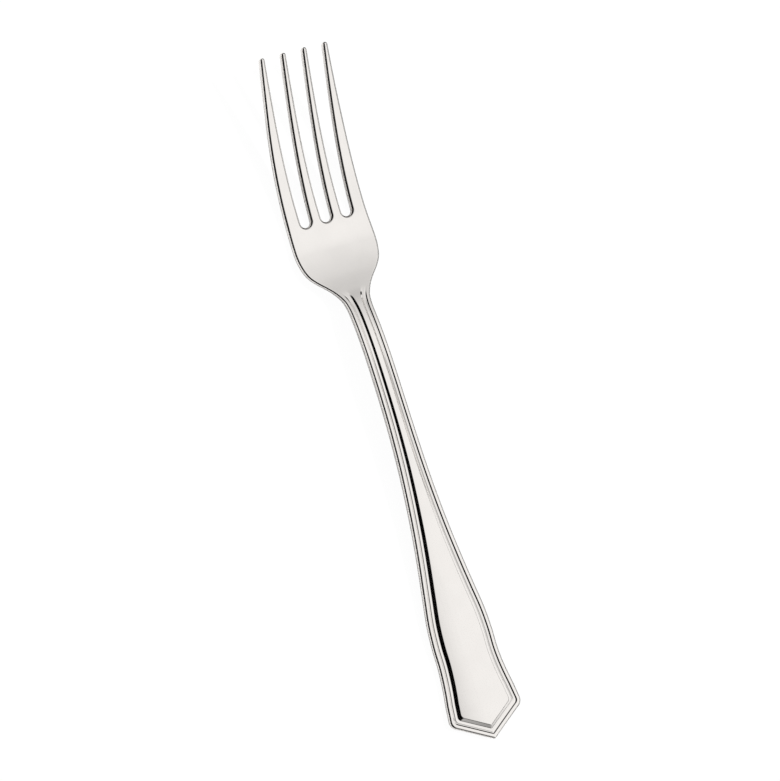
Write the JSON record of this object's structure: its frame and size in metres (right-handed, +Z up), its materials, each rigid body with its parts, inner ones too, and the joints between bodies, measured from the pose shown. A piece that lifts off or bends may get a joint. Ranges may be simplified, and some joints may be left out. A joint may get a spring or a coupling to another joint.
{
  "type": "dinner fork",
  "caption": "Stainless steel dinner fork with long tapered tines, a dished head, a slim arched neck and a flared handle with a threaded border and a pointed end.",
  "frame": {"origin": "on the table, under the middle of the fork's length and width, with the fork lying face up on its bowl and on the back of its handle", "axes": "+Y along the fork towards the tips of the tines, +Z up out of the face, +X to the right"},
  "size_m": [0.0262, 0.205, 0.0165],
  "materials": {
    "steel": "mirror-polished stainless steel with faint hairline polishing marks"
  },
  "bodies": {
    "root": {"handle": "steel", "neck": "steel", "head": "steel", "left_outer_tine": "steel", "left_inner_tine": "steel", "right_inner_tine": "steel", "right_outer_tine": "steel"}
  },
  "joints": []
}
